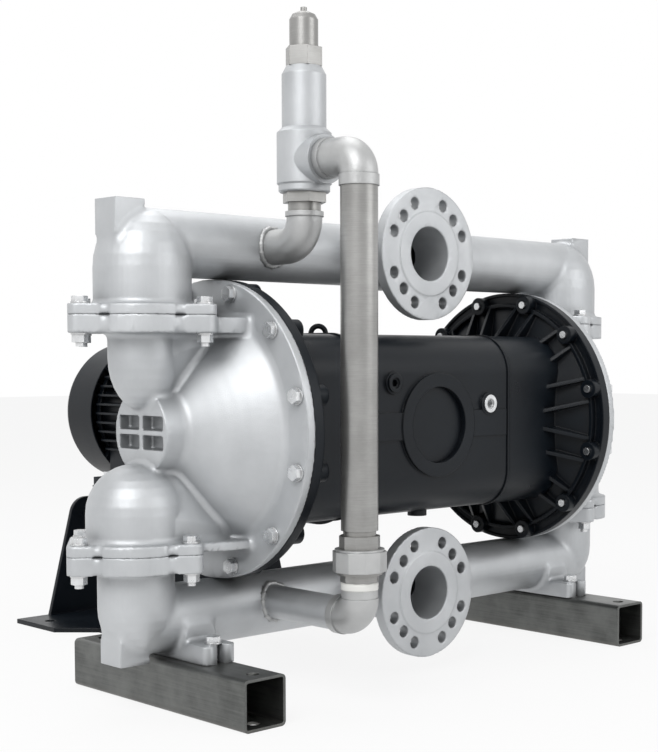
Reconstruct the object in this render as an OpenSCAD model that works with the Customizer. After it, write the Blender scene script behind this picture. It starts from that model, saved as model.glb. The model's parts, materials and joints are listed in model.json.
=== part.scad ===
// Double-acting electric diaphragm pump: two fluid chambers on one cross shaft,
// a crank gearbox between them, ball valves, two manifolds, a relief bypass and a geared motor.
// +X runs along the diaphragm shaft, -Y faces the pipe flanges, +Z is up. The origin lies on the
// floor, in the middle of the four anchor holes of the rails.

/* [Layout] */
// Height of the diaphragm shaft above the floor
shaft_z = 384; // [378:1:392]
// Distance of the suction and discharge pipe axes from the shaft
manifold_rise = 259; // [259:1:264]
// Distance of each diaphragm from the middle of the pump
diaphragm_x = 321; // [316:1:326]
// Distance of the discharge valves from the middle
top_valve_x = 446; // [443:1:450]
// Distance of the suction valves from the middle
low_valve_x = 462; // [459:1:466]
// Height of the discharge joint above the shaft
top_joint_rise = 159.5; // [157:0.5:162]
// Depth of the suction joint below the shaft
low_joint_drop = 161.5; // [159:0.5:164]

/* [Fluid covers] */
// Radius of the cover flange
cover_r = 212; // [209:0.5:212]
// Thickness of the outer cover flange
cover_flange_t = 13; // [11:1:15]
// Radius of the bolt circle of the cover flange
cover_bolt_r = 197; // [196:0.5:199]
// Radius where the dome leaves the flange
dome_r = 168; // [164:1:172]
// Distance of the dome's small end from the flange
dome_depth = 82; // [78:1:86]
// Radius of the end boss
boss_r = 60; // [56:1:64]
// Length of the end boss beyond the dome
boss_l = 36; // [32:1:42]
// Wall of the fluid covers
cover_wall = 9; // [7:0.5:10]
// Width of the grid pocket in the end boss
pocket_w = 102; // [90:1:104]
// Height of the grid pocket in the end boss
pocket_h = 46; // [40:1:50]
// Depth of the grid pocket
pocket_d = 18; // [10:1:22]
// Radius of the bulb under the discharge joint
top_bulb_r = 48; // [46:1:50]
// Drop of the bulb's round end below its straight part
top_bulb_end = 72; // [66:1:76]
// Radius of the suction ball chamber
low_bulb_r = 67; // [65:1:68]
// Height of the straight part of the suction ball chamber
low_bulb_h = 52.5; // [48:0.5:58]

/* [Valve joints] */
// Half spacing of the bolts along the plate at the discharge joint
top_ear_r = 82; // [80:1:84]
// Half spacing of the bolts along the plate at the suction joint
low_ear_r = 74; // [72:1:77]
// Half spacing of the joint bolts across the plate
ear_bolt_y = 45; // [43:0.5:46]
// Turn of the joint plates about the valve axis
ear_turn = 35; // [32:1:38]
// Radius of the round middle of a joint plate
joint_mid_r = 79; // [77:1:82]
// Half width of the joint plate at its ears
ear_half_w = 62; // [59:1:64]
// Length of the plate beyond each joint bolt
ear_over = 16; // [15:1:17]
// Thickness of the cover plate at the discharge joint
top_cover_plate_t = 24.5; // [22:0.5:28]
// Thickness of the manifold plate at the discharge joint
top_man_plate_t = 14; // [12:0.5:17]
// Thickness of the cover plate at the suction joint
low_cover_plate_t = 15; // [13:0.5:18]
// Thickness of the manifold plate at the suction joint
low_man_plate_t = 24.5; // [22:0.5:28]
// Radius of the valve balls
ball_r = 42; // [41:0.5:43]
// Bore radius of the ball seats
seat_bore_r = 33; // [31:0.5:34]
// Outer radius of the ball seats
seat_r = 66; // [64:0.5:66]
// Thickness of the ball seats
seat_t = 16; // [14:1:18]

/* [Manifolds] */
// Outer radius of the manifold pipes
pipe_r = 46.5; // [45.5:0.5:46.5]
// Bore radius of the manifold pipes
pipe_bore_r = 41; // [40:0.5:42]
// Outer radius of the discharge elbows, which hold the balls
top_elbow_r = 66.5; // [66.5:0.5:69]
// Wall of the discharge elbows
top_elbow_wall = 8; // [7:0.5:10]
// Outer radius of the suction elbows
low_elbow_r = 52.5; // [50:0.5:55]
// Outer face of the square corner bosses from the middle
corner_x = 505; // [502:1:508]
// Width of the square corner bosses
corner_w = 48; // [44:1:50]
// Radius of the pipe flanges
flange_r = 100; // [98:1:104]
// Thickness of the pipe flanges
flange_t = 20; // [18:1:24]
// Distance of the flange faces from the pipe axis
flange_face_y = 113; // [110:1:120]
// Radius of the raised face
raised_r = 63.5; // [60:0.5:66]
// Radius of the wide bolt circle
pcd_wide_r = 80; // [79:0.5:81]
// Radius of the narrow bolt circle
pcd_narrow_r = 76.2; // [75:0.1:77]
// Radius of the flange bolt holes
flange_hole_r = 9; // [8:0.5:9.5]

/* [Inner covers and gearbox] */
// Half width of the gearbox body along the shaft
box_half_x = 161; // [158:1:165]
// Half depth of the gearbox body
box_half_y = 129; // [127:1:132]
// Half height of the gearbox body
box_half_z = 136.5; // [134:0.5:139]
// Corner radius of the gearbox body
box_corner_r = 60; // [54:1:64]
// Wall of the gearbox body
box_wall = 12; // [10:0.5:13]
// Outer radius of the front ring
ring_r = 79; // [76:1:82]
// Radius of the recess inside the front ring
recess_r = 58; // [55:1:60]
// Height of the raised band across the front
band_h = 41; // [36:1:46]
// Outer face of the inner hub wall from the middle
hub_x = 262; // [259:1:264]
// Thickness of the hub wall
hub_wall = 14; // [12:1:16]
// Thickness of the inner cover flange
inner_flange_t = 13; // [11:1:15]
// Radius where the ribs meet the rim
rib_end_r = 190; // [187:1:191]
// Thickness of the ribs
rib_t = 6; // [4:0.5:8]
// Spacing of the two ribs that flank a bolt
rib_pair_w = 38; // [34:1:42]
// Radius of the bolt ears
ear_boss_r = 15; // [13:0.5:16]

/* [Drive] */
// Throw of the crank
crank_throw = 25; // [22:1:26]
// Radius of the crank journals
journal_r = 22; // [20:0.5:24]
// Radius of the crank pin
pin_r = 20; // [18:0.5:21]
// Radius of the crank webs
web_r = 50; // [48:1:52]
// Outer radius of the roller on the crank pin
roller_r = 32; // [30:1:33]
// Thickness of the yoke
yoke_t = 32; // [28:1:34]
// Bar width of the yoke
yoke_bar = 14; // [12:1:16]
// Radius of the diaphragm rods
rod_r = 16; // [15:0.5:17]
// Radius of the rod ends that carry the plates
rod_end_r = 12; // [10:0.5:13]
// Radius of the diaphragm plates
plate_r = 95; // [90:1:98]
// Thickness of the diaphragm
diaphragm_t = 5; // [4:0.5:6]
// Module of the gear teeth
gear_m = 2.5; // [2.5:0.5:2.5]
// Teeth of the motor pinion
motor_teeth = 17; // [17:1:19]
// Teeth of the layshaft pinion
lay_teeth = 18; // [18:1:20]
// Sum of the teeth of each meshing pair
pair_teeth = 72; // [72:2:74]
// Face width of the gears
gear_w = 26; // [20:1:30]
// Radius of the layshaft
lay_r = 16; // [14:0.5:17]

/* [Motor] */
// Face of the reducer that carries the motor
motor_face_y = 280; // [276:1:286]
// Rear end of the fan cowl
motor_end_y = 714; // [708:1:722]
// Radius of the fan cowl
cowl_r = 128; // [125:1:129]
// Length of the fan cowl
cowl_l = 90; // [84:1:96]
// Radius over the cooling fins
fin_r = 120; // [118:1:122]
// Radius of the motor barrel
barrel_r = 104; // [102:1:106]
// Bore radius of the motor barrel
barrel_bore_r = 92; // [88:1:94]
// Pitch of the cooling fins
fin_pitch = 16.5; // [15:0.5:19]
// Thickness of the cooling fins
fin_t = 4; // [3:0.5:5]
// Height of the motor shaft above its feet
motor_h = 132; // [130:1:134]
// Radius of the motor shaft
motor_shaft_r = 19; // [17:0.5:20]
// Radius of the fan
fan_r = 98; // [90:1:108]

/* [Base] */
// Width of the square rails
rail_w = 70; // [68:1:74]
// Wall of the rails
rail_wall = 4; // [3:0.5:5]
// Corner radius of the rails
rail_corner_r = 7; // [5:0.5:9]
// Length of the rails
rail_l = 400; // [380:2:430]
// Distance of the rail centres from the middle
rail_x = 400; // [396:1:404]
// Distance of the anchor holes from the rail ends
anchor_edge = 25.5; // [20:0.5:32]
// Radius of the anchor holes
anchor_r = 9; // [8:0.5:10]
// Height of the manifold feet
foot_h = 26; // [24:1:28]
// Half length of the manifold feet
foot_half_l = 96; // [92:1:100]
// Sheet thickness of the motor bracket
bracket_t = 8; // [6:0.5:10]
// Height of the motor bracket
bracket_h = 224; // [218:1:230]
// Half width of the motor bracket at its top
bracket_top_w = 118; // [112:1:122]
// Half width of the motor bracket at the floor
bracket_low_w = 175; // [168:1:180]

/* [Relief bypass] */
// Distance of the bypass from the middle
bypass_x = 250; // [244:1:256]
// Distance of the relief valve axis in front of the pipes
relief_y = 110; // [104:1:114]
// Distance of the bypass pipe axis in front of the pipes
riser_y = 221; // [216:1:226]
// Radius of the bypass pipe
riser_r = 25.5; // [24:0.5:27]
// Wall of the bypass pipe and its fittings
riser_wall = 4; // [3:0.5:4.5]
// Bend radius of the weld elbow of the bypass
bend_r = 38; // [36:1:40]
// Bend radius of the threaded fittings
fitting_bend_r = 27; // [26.5:0.5:30]
// Radius of the threaded fittings
fitting_r = 26; // [25:0.5:26]
// Radius of the relief valve body
relief_r = 38.3; // [36:0.1:40]
// Radius of the relief valve bonnet
bonnet_r = 31; // [29:0.5:32]

/* [Fasteners] */
// Shank radius of the cover and joint bolts
bolt_r = 6; // [5:0.5:6]
// Shank radius of the foot bolts
foot_bolt_r = 6; // [5:0.5:7]
// Thickness of the washers
washer_t = 2.5; // [2:0.5:3]

/* [Hidden] */
$fn = 48;

slip = 0.05;      // radial clearance of running fits
seat_gap = 0.3;   // clearance between bodies that meet without a fit
cast_colour = [0.78, 0.79, 0.80];
steel_colour = [0.62, 0.62, 0.60];
black_colour = [0.09, 0.10, 0.11];
zinc_colour = [0.86, 0.87, 0.88];
rubber_colour = [0.12, 0.12, 0.12];
plastic_colour = [0.92, 0.92, 0.90];

top_pipe_z = shaft_z + manifold_rise;
low_pipe_z = shaft_z - manifold_rise;
top_joint_z = shaft_z + top_joint_rise;
low_joint_z = shaft_z - low_joint_drop;
cover_face_x = diaphragm_x + cover_flange_t;
dome_end_x = cover_face_x + dome_depth;
boss_face_x = dome_end_x + boss_l;
rim_groove_r = 184;
rim_groove_d = 3;
cavity_r = 165;
cover_bolts = 12;
bolt_clear = 0.75;
bolt_hole_r = bolt_r + bolt_clear;
washer_k = 2;      // washer radius, as a multiple of the shank radius
head_k = 3.15;      // width across flats of heads and nuts
head_t_k = 1.25;   // height of a bolt head
nut_t_k = 1.7;     // height of a nut
bolt_tip_k = 0.9;  // part of the bolt beyond its nut
joint_recess_r = seat_r + 0.2;
ear_corner_r = 14;
bulb_wall = 7;

// Small shapes

module along_x(x, y, z) {
    translate([x, y, z]) rotate([0, 90, 0]) children();
}

module along_y(x, y, z) {
    translate([x, y, z]) rotate([-90, 0, 0]) children();
}

module ring(r, bore, h) {
    difference() {
        cylinder(r = r, h = h);
        translate([0, 0, -1]) cylinder(r = bore, h = h + 2);
    }
}

module hexagon(af, h) {
    cylinder(r = af / sqrt(3), h = h, $fn = 6);
}

// A rectangle with round corners, centred
module round_rect(l, w, r) {
    square([l - 2 * r, w], center = true);
    square([l, w - 2 * r], center = true);
    for (sx = [-1, 1], sy = [-1, 1]) {
        translate([sx * (l / 2 - r), sy * (w / 2 - r)]) circle(r = r);
    }
}

module mirrored(side) {
    if (side > 0) children();
    else mirror([1, 0, 0]) children();
}

// Bolt with head and washer on top of z = 0, shank down, and a nut under the parts it grips
module bolt(r, grip, nut = true) {
    tail = nut ? washer_t + (nut_t_k + bolt_tip_k) * r : 0;
    cylinder(r = washer_k * r, h = washer_t);
    translate([0, 0, washer_t]) hexagon(head_k * r, head_t_k * r);
    translate([0, 0, -grip - tail]) cylinder(r = r, h = grip + washer_t + tail);
    if (nut) {
        translate([0, 0, -grip - washer_t]) ring(washer_k * r, r, washer_t);
        translate([0, 0, -grip - washer_t - nut_t_k * r]) hexagon(head_k * r, nut_t_k * r);
    }
}

// Elbow of a tube: it runs from the origin towards +Z and bends towards +X
module tube_bend(bend, r, bore) {
    translate([bend, 0, 0]) rotate([90, 0, 0]) rotate([0, 0, 90]) rotate_extrude(angle = 90)
        translate([bend, 0]) difference() {
            circle(r = r);
            circle(r = bore);
        }
}

// Fluid covers

function dome_points(r0, r1, x0, x1, bulge, n = 8) = [
    for (i = [0 : n]) let (t = i / n) [r0 + (r1 - r0) * t + bulge * sin(180 * t), x0 + (x1 - x0) * t]
];

module dome(r0, r1, x0, x1, bulge) {
    along_x(0, 0, shaft_z) rotate_extrude()
        polygon(concat([[0, x0]], dome_points(r0, r1, x0, x1, bulge), [[0, x1]]));
}

// Upright bulb with a round end: the straight part spans z0 to z1, the end reaches z1 + rise
module bulb(x, r, z0, z1, rise, n = 8) {
    translate([x, 0, 0]) rotate_extrude() polygon(concat(
        [[0, z0], [r, z0]],
        [for (i = [0 : n - 1]) [r * cos(90 * i / n), z1 + rise * sin(90 * i / n)]],
        [[0, z1 + rise]]));
}

module joint_outline(ear_r) {
    circle(r = joint_mid_r);
    round_rect(2 * (ear_r + ear_over), 2 * ear_half_w, ear_corner_r);
}

module joint_plate(x, z, t, ear_r) {
    translate([x, 0, z]) rotate([0, 0, ear_turn]) linear_extrude(height = t) joint_outline(ear_r);
}

module joint_holes(x, z, t, ear_r) {
    translate([x, 0, z]) rotate([0, 0, ear_turn]) for (sx = [-1, 1], sy = [-1, 1]) {
        translate([sx * ear_r, sy * ear_bolt_y, -1]) cylinder(r = bolt_hole_r, h = t + 2);
    }
}

// Horizontal web from a joint plate to the cover flange
module joint_web(x, z, t, half_in, half_out) {
    translate([0, 0, z]) linear_extrude(height = t) polygon([
        [cover_face_x - 1, -half_in], [x, -half_out], [x, half_out], [cover_face_x - 1, half_in]]);
}

module outer_cover(side) {
    top_z = top_joint_z - top_cover_plate_t;
    low_z = low_joint_z + low_cover_plate_t;
    top_straight = 34;
    duct_x = cover_face_x + 34;
    color(cast_colour) mirrored(side) {
        difference() {
            union() {
                along_x(diaphragm_x, 0, shaft_z) cylinder(r = cover_r, h = cover_flange_t);
                dome(dome_r, boss_r, cover_face_x - 1, dome_end_x, 7);
                along_x(dome_end_x - 8, 0, shaft_z) cylinder(r = boss_r, h = boss_l + 8);
                mirror([0, 0, 1])
                    bulb(top_valve_x, top_bulb_r, -top_z - 1, -top_z + top_straight, top_bulb_end);
                bulb(low_valve_x, low_bulb_r, low_z - 1, low_joint_z + low_bulb_h, low_bulb_r);
                hull() {
                    translate([top_valve_x - 2, 0, top_z - top_straight])
                        cylinder(r = top_bulb_r - 3, h = top_straight, $fn = 32);
                    translate([top_valve_x - 20, 0, top_z - 84]) cylinder(r = 26, h = 10, $fn = 32);
                    translate([duct_x, 0, top_z - 12]) cylinder(r = top_bulb_r - 3, h = 12, $fn = 32);
                }
                hull() {
                    translate([low_valve_x - 3, 0, low_z - 4])
                        cylinder(r = low_bulb_r - 2, h = low_bulb_h - 14, $fn = 32);
                    translate([low_valve_x - 38, 0, low_joint_z + low_bulb_h + 14]) sphere(r = 50, $fn = 32);
                    translate([duct_x - 4, 0, low_z - 4]) cylinder(r = 60, h = 20, $fn = 32);
                }
                joint_plate(top_valve_x, top_z, top_cover_plate_t, top_ear_r);
                joint_plate(low_valve_x, low_joint_z, low_cover_plate_t, low_ear_r);
                joint_web(top_valve_x, top_z, top_cover_plate_t - 3, 96, ear_half_w);
                joint_web(low_valve_x, low_joint_z, low_cover_plate_t - 3, 96, ear_half_w);
            }
            dome(cavity_r, boss_r - cover_wall, diaphragm_x - 1, dome_end_x - cover_wall, 6);
            along_x(diaphragm_x - 1, 0, shaft_z) cylinder(r = rim_groove_r, h = rim_groove_d + 1);
            mirror([0, 0, 1]) bulb(top_valve_x, top_bulb_r - bulb_wall, -top_joint_z - 1,
                -top_z + top_straight - 2, top_bulb_end - bulb_wall);
            bulb(low_valve_x, low_bulb_r - bulb_wall, low_joint_z - 1, low_joint_z + low_bulb_h - 2,
                low_bulb_r - bulb_wall);
            along_x(diaphragm_x - 60, 0, shaft_z) cylinder(r = cover_r, h = 60);
            along_x(dome_end_x - 36, 0, shaft_z + 94) cylinder(r = 25, h = top_valve_x - dome_end_x + 36);
            along_x(dome_end_x - 32, 0, low_joint_z + low_bulb_h + 4)
                cylinder(r = 28, h = low_valve_x - dome_end_x + 32);
            translate([top_valve_x, 0, top_joint_z - seat_t / 2]) cylinder(r = joint_recess_r, h = seat_t);
            translate([low_valve_x, 0, low_joint_z - 1]) cylinder(r = joint_recess_r, h = seat_t / 2 + 1);
            joint_holes(top_valve_x, top_z, top_cover_plate_t, top_ear_r);
            joint_holes(low_valve_x, low_joint_z, low_cover_plate_t, low_ear_r);
            for (i = [0 : cover_bolts - 1]) {
                a = 15 + 360 * i / cover_bolts;
                along_x(diaphragm_x - 1, cover_bolt_r * cos(a), shaft_z + cover_bolt_r * sin(a))
                    cylinder(r = bolt_hole_r, h = cover_flange_t + 2);
            }
            grid_pocket();
        }
        ball_guides();
    }
}

// Recess with a cross rib in the face of the end boss
module grid_pocket() {
    rib = 7;
    cell_w = (pocket_w - rib) / 2;
    cell_h = (pocket_h - rib) / 2;
    for (sy = [-1, 1], sz = [-1, 1]) {
        translate([boss_face_x - pocket_d, sy * (rib + cell_w) / 2, shaft_z + sz * (rib + cell_h) / 2])
            rotate([0, 90, 0]) linear_extrude(height = pocket_d + 1) round_rect(cell_h, cell_w, 3);
    }
}

// Four ribs inside the suction chamber that keep the ball on its seat axis
module ball_guides() {
    guide_r = ball_r + 3;
    chamber_r = low_bulb_r - bulb_wall;
    for (a = [45, 135, 225, 315]) {
        translate([low_valve_x, 0, low_joint_z + seat_t / 2 + 4]) rotate([0, 0, a])
            translate([guide_r, -3, 0]) cube([chamber_r + 1 - guide_r, 6, low_bulb_h - 16]);
    }
}

// Inner covers

module box_outline(half_y, half_z, r) {
    round_rect(2 * half_z, 2 * half_y, r);
}

module box_prism(x0, x1, half_y, half_z, r) {
    along_x(x0, 0, shaft_z) linear_extrude(height = x1 - x0) box_outline(half_y, half_z, r);
}

rim_x = diaphragm_x - inner_flange_t;
ring_x = rim_x - 10;
ear_x = rim_x - 17;
floor_slope = 0.42;
crest_slope = 0.75;
hub_rib_r = 112;

function floor_x(r) = rim_x - 1 - (rib_end_r - r) * floor_slope;
function crest_x(r) = ring_x + 1 - (rib_end_r - r) * crest_slope;

// One rib with its outer end at the rim, lying in the plane y = 0
module rib() {
    rotate([90, 0, 0]) translate([0, 0, -rib_t / 2]) linear_extrude(height = rib_t) polygon([
        [crest_x(rib_end_r), rib_end_r], [crest_x(hub_rib_r), hub_rib_r],
        [floor_x(hub_rib_r) + 2, hub_rib_r], [rim_x + 1, rib_end_r]]);
}

module inner_cover(side) {
    color(black_colour) mirrored(side) difference() {
        union() {
            along_x(rim_x, 0, shaft_z) ring(cover_r, 150, inner_flange_t);
            along_x(rim_x - 3, 0, shaft_z) ring(cover_r, cover_r - 5, 4);
            along_x(ring_x, 0, shaft_z) ring(rib_end_r + 4, rib_end_r - 2, rim_x - ring_x + 1);
            along_x(0, 0, shaft_z) rotate_extrude() polygon([
                [60, floor_x(60)], [rib_end_r, floor_x(rib_end_r)], [rib_end_r, diaphragm_x - 1],
                [60, diaphragm_x - 1]]);
            box_prism(box_half_x, floor_x(150), box_half_y, box_half_z, box_corner_r);
            box_prism(box_half_x, box_half_x + 5, box_half_y + 2, box_half_z + 2, box_corner_r + 2);
            for (i = [0 : cover_bolts - 1]) {
                a = 15 + 360 * i / cover_bolts;
                translate([0, 0, shaft_z]) rotate([-a, 0, 0]) {
                    for (s = [-1, 1]) {
                        translate([0, 0, s * rib_pair_w / 2]) rotate([-90, 0, 0]) rib();
                    }
                    along_x(ear_x, cover_bolt_r, 0) cylinder(r = ear_boss_r, h = rim_x - ear_x + 1);
                }
            }
        }
        box_prism(box_half_x - 1, hub_x - hub_wall, box_half_y - box_wall, box_half_z - box_wall,
            box_corner_r - box_wall);
        along_x(0, 0, shaft_z) rotate_extrude() polygon([
            [0, hub_x], [110, hub_x], [142, diaphragm_x - 22], [cavity_r, diaphragm_x - 6],
            [cavity_r, diaphragm_x + 1], [0, diaphragm_x + 1]]);
        along_x(diaphragm_x - rim_groove_d, 0, shaft_z) cylinder(r = rim_groove_r, h = rim_groove_d + 1);
        along_x(box_half_x, 0, shaft_z) cylinder(r = rod_r + 6, h = hub_x - box_half_x + 1);
        for (i = [0 : cover_bolts - 1]) {
            a = 15 + 360 * i / cover_bolts;
            along_x(ear_x - 1, cover_bolt_r * cos(a), shaft_z + cover_bolt_r * sin(a))
                cylinder(r = bolt_r + slip, h = diaphragm_x - ear_x + 2);
        }
    }
}

// Gearbox

front_y = -box_half_y;
ring_face_y = front_y - 5;
plug_r = 12;
sight_pos = [114.6, 413.7 - 384];
oil_pos = [-95.3, 448.8 - 384];
cap_bore_r = recess_r;
drain_pos = [20, -66];
drain_pad_t = 8;
drain_r = 10;
eye_x = 34 - box_half_x;
eye_stem_r = 6;
rear_bearing_r = 42;

module gearbox_housing() {
    color(black_colour) difference() {
        union() {
            box_prism(-box_half_x, box_half_x, box_half_y, box_half_z, box_corner_r);
            along_y(0, ring_face_y, shaft_z) cylinder(r = ring_r, h = 30);
            translate([-box_half_x + 4, front_y - 3, shaft_z - band_h / 2])
                cube([2 * box_half_x - 8, 10, band_h]);
            along_y(0, box_half_y - 10, shaft_z) cylinder(r = 125, h = 15);
            along_y(sight_pos[0], front_y - 4, shaft_z + sight_pos[1]) cylinder(r = plug_r + 6, h = 10);
            along_y(oil_pos[0], front_y - 4, shaft_z + oil_pos[1]) cylinder(r = plug_r + 5, h = 10);
            translate([drain_pos[0], drain_pos[1], shaft_z - box_half_z - drain_pad_t])
                cylinder(r = 15, h = drain_pad_t + 6);
        }
        difference() {
            box_prism(-box_half_x - 1, box_half_x + 1, box_half_y - box_wall, box_half_z - box_wall,
                box_corner_r - box_wall);
            along_y(0, box_half_y - box_wall - 20, shaft_z) cylinder(r = 66, h = 40);
        }
        along_y(0, ring_face_y - 1, shaft_z) cylinder(r = cap_bore_r, h = 40);
        along_y(0, box_half_y - box_wall - 30, shaft_z) cylinder(r = rear_bearing_r, h = 60);
        along_y(sight_pos[0], front_y - 5, shaft_z + sight_pos[1]) cylinder(r = plug_r, h = 30);
        along_y(oil_pos[0], front_y - 5, shaft_z + oil_pos[1]) cylinder(r = plug_r, h = 30);
        translate([drain_pos[0], drain_pos[1], shaft_z - box_half_z - drain_pad_t - 1])
            cylinder(r = drain_r, h = 30);
        translate([eye_x, 0, shaft_z + box_half_z - 10.5]) cylinder(r = eye_stem_r + slip, h = 20);
    }
}

cap_y = front_y + 4;
front_bearing_y = cap_y + 14;
bearing_w = 20;
crank_bearing_r = 36;

module front_bearing_cap() {
    color(black_colour) along_y(0, cap_y, shaft_z) difference() {
        union() {
            cylinder(r = cap_bore_r - slip, h = 14);
            cylinder(r = crank_bearing_r + 8, h = 14 + bearing_w);
        }
        translate([0, 0, 14]) cylinder(r = crank_bearing_r, h = bearing_w + 1);
    }
}

module socket_plug(r, h, af, depth) {
    difference() {
        union() {
            cylinder(r = r - slip, h = h);
            translate([0, 0, h]) ring(r + 2, r - 4, 3);
        }
        translate([0, 0, h - depth]) hexagon(af, depth + 5);
    }
}

module oil_plug() {
    color(black_colour) translate([oil_pos[0], front_y - 4, shaft_z + oil_pos[1]]) rotate([90, 0, 0])
        translate([0, 0, -16]) socket_plug(plug_r, 16, 10, 8);
}

module sight_plug() {
    color(zinc_colour) translate([sight_pos[0], front_y - 4, shaft_z + sight_pos[1]]) rotate([90, 0, 0])
        translate([0, 0, -16]) socket_plug(plug_r, 16, 12, 10);
}

module drain_plug() {
    color(black_colour) translate([drain_pos[0], drain_pos[1], shaft_z - box_half_z - drain_pad_t + 0.5])
        difference() {
            cylinder(r = drain_r - slip, h = 16);
            translate([0, 0, -1]) hexagon(10, 8);
        }
}

module lifting_eye() {
    eye_r = 11;
    wire_r = 4;
    color(black_colour) translate([eye_x, 0, shaft_z + box_half_z]) {
        translate([0, 0, -10]) cylinder(r = eye_stem_r, h = 11);
        cylinder(r = eye_r + wire_r + 1, h = 2.5);
        translate([0, 0, 2]) rotate([90, 0, -45]) rotate_extrude(angle = 180)
            translate([eye_r, 0]) circle(r = wire_r);
    }
}

// Crank, yoke and diaphragms

slot_half_x = roller_r + 2 * crank_throw + 1;
slot_half_z = roller_r + crank_throw + 2;
yoke_half_x = slot_half_x + yoke_bar;
yoke_half_z = slot_half_z + yoke_bar;
plate_t = 18;
inner_plate_x = diaphragm_x - diaphragm_t / 2 - plate_t;
outer_plate_x = diaphragm_x + diaphragm_t / 2;
nut_t = 10;

module diaphragm_yoke() {
    color(steel_colour) {
        difference() {
            translate([-yoke_half_x, -yoke_t / 2, shaft_z - yoke_half_z])
                cube([2 * yoke_half_x, yoke_t, 2 * yoke_half_z]);
            translate([-slot_half_x, -yoke_t, shaft_z - slot_half_z])
                cube([2 * slot_half_x, 2 * yoke_t, 2 * slot_half_z]);
        }
        for (s = [-1, 1]) mirrored(s) {
            along_x(yoke_half_x, 0, shaft_z) cylinder(r = rod_r, h = inner_plate_x - yoke_half_x);
            along_x(inner_plate_x, 0, shaft_z)
                cylinder(r = rod_end_r, h = 2 * plate_t + diaphragm_t + nut_t);
            along_x(outer_plate_x + plate_t, 0, shaft_z) hexagon(30, nut_t);
        }
    }
}

module inner_plates() {
    color(steel_colour) for (s = [-1, 1]) mirrored(s)
        along_x(inner_plate_x, 0, shaft_z) rotate_extrude() polygon([
            [rod_end_r + slip, 0], [34, 0], [plate_r - 12, plate_t - 8], [plate_r, plate_t - 4],
            [plate_r, plate_t], [rod_end_r + slip, plate_t]]);
}

module outer_plates() {
    color(steel_colour) for (s = [-1, 1]) mirrored(s)
        along_x(outer_plate_x, 0, shaft_z) rotate_extrude() polygon([
            [rod_end_r + slip, 0], [plate_r, 0], [plate_r, 4], [plate_r - 14, 10], [34, plate_t],
            [rod_end_r + slip, plate_t]]);
}

wave_end_r = cavity_r - 12;
wave_radii = [for (i = [0 : 8]) plate_r + (wave_end_r - plate_r) * i / 8];
function wave(r) = 7 * sin(180 * (r - plate_r) / (wave_end_r - plate_r));

module diaphragm(side) {
    color(rubber_colour) mirrored(side) along_x(diaphragm_x, 0, shaft_z) rotate_extrude() polygon(concat(
        [[rod_end_r, -diaphragm_t / 2]],
        [for (r = wave_radii) [r, wave(r) - diaphragm_t / 2]],
        [[cavity_r, -rim_groove_d], [rim_groove_r - 0.2, -rim_groove_d],
         [rim_groove_r - 0.2, rim_groove_d], [cavity_r, rim_groove_d]],
        [for (i = [8 : -1 : 0]) [wave_radii[i], wave(wave_radii[i]) + diaphragm_t / 2]],
        [[rod_end_r, diaphragm_t / 2]]));
}

module rod_bushes() {
    color([0.75, 0.6, 0.3]) for (s = [-1, 1]) mirrored(s)
        along_x(hub_x - hub_wall - 6, 0, shaft_z) ring(rod_r + 6, rod_r + slip, hub_wall + 4);
}

front_journal_y = front_bearing_y;
web_t = 14;
web_y = yoke_t / 2 + 4;
rear_bearing_y = box_half_y - box_wall - 10;
output_gear_y = box_half_y + 5 + 34;
lay_drop = gear_m * pair_teeth / 2;

module crankshaft() {
    crank_end = output_gear_y + gear_w;
    color(steel_colour) {
        along_y(0, front_journal_y + 1, shaft_z) cylinder(r = journal_r, h = -front_journal_y - 1 - web_y);
        along_y(0, -web_y - web_t, shaft_z) cylinder(r = web_r, h = web_t);
        along_y(0, -web_y, shaft_z + crank_throw) cylinder(r = pin_r, h = 2 * web_y);
        along_y(0, web_y, shaft_z) cylinder(r = web_r, h = web_t);
        along_y(0, web_y + web_t, shaft_z) cylinder(r = journal_r, h = crank_end - web_y - web_t);
    }
}

module crank_roller() {
    color(zinc_colour) along_y(0, -yoke_t / 2 + 1, shaft_z + crank_throw)
        ring(roller_r, pin_r + slip, yoke_t - 2);
}

module crank_bearings() {
    color(zinc_colour) {
        along_y(0, front_bearing_y, shaft_z) ring(crank_bearing_r, journal_r + slip, bearing_w);
        along_y(0, rear_bearing_y, shaft_z) ring(rear_bearing_r, journal_r + slip, bearing_w + 4);
    }
}

// Spur gears with involute flanks

pressure = 20;
tooth_play = 0.12; // play of a tooth on its pitch circle, each side
function involute(a) = tan(a) - a * PI / 180;
function flank(r, base) = r <= base ? 0 : involute(acos(base / r)) * 180 / PI;

// Outline with a tooth centred on +X
module gear_outline(teeth) {
    pitch = gear_m * teeth / 2;
    base = pitch * cos(pressure);
    root = pitch - 1.25 * gear_m;
    tip = pitch + gear_m;
    half = 90 / teeth + involute(pressure) * 180 / PI - tooth_play / pitch * 180 / PI;
    low = max(base, root);
    radii = [low, low + (tip - low) / 3, low + 2 * (tip - low) / 3, tip];
    polygon([for (i = [0 : teeth - 1]) let (c = 360 * i / teeth) each concat(
        [[root * cos(c - half), root * sin(c - half)]],
        [for (r = radii) let (a = c - half + flank(r, base)) [r * cos(a), r * sin(a)]],
        [for (k = [3 : -1 : 0]) let (r = radii[k], a = c + half - flank(r, base)) [r * cos(a), r * sin(a)]],
        [[root * cos(c + half), root * sin(c + half)]])]);
}

motor_gear_teeth = pair_teeth - motor_teeth;
crank_gear_teeth = pair_teeth - lay_teeth;
lay_z = shaft_z - lay_drop;
stage_one_y = motor_face_y - 18 - gear_w - 4;
lay_front_y = box_half_y + 5 + 8;
lay_rear_y = motor_face_y - 16;
lay_bearing_r = 28;

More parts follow.
